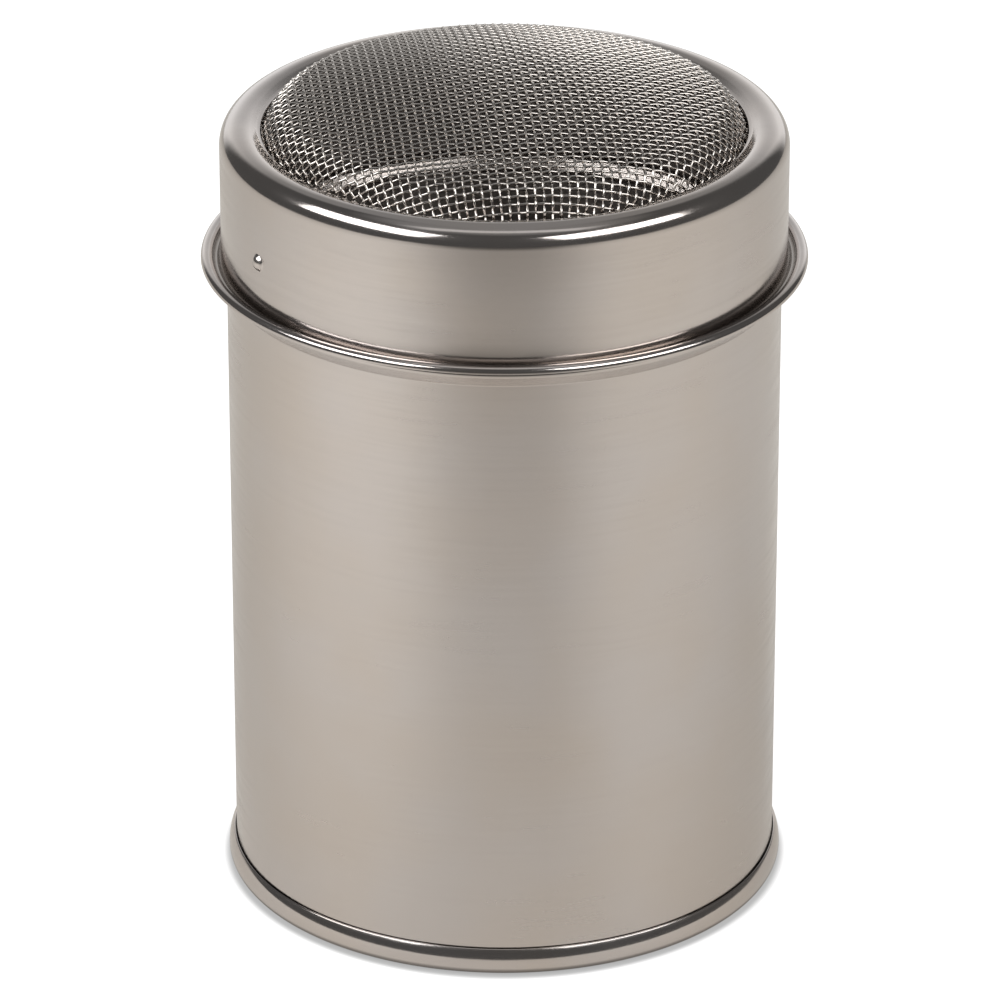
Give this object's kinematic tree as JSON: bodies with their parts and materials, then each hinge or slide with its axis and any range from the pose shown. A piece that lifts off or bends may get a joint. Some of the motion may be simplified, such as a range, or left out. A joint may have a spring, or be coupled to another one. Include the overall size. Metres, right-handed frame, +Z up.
{
  "type": "spice shaker",
  "caption": "Stainless steel spice shaker: a straight can with a seamed base and a push-on lid that holds a domed woven wire sieve.",
  "frame": {"origin": "middle of the foot ring, on the surface that the shaker stands on", "axes": "+Z up along the can's axis, the front of the shaker towards -Y and its right side towards +X"},
  "size_m": [0.0722, 0.0724, 0.1022],
  "materials": {
    "satin_steel": "satin rolled stainless sheet",
    "wire_steel": "bright drawn stainless wire"
  },
  "bodies": {
    "can": {"can_wall": "satin_steel", "base_pan": "satin_steel"},
    "lid": {"lid_shell": "satin_steel", "mesh_dome": "wire_steel", "mesh_retaining_ring": "satin_steel"}
  },
  "joints": [
    {"name": "lid_lift", "type": "slide", "parent": "can", "child": "lid", "axis": [0, 0, 1], "range_m": [0, 0.03]}
  ]
}
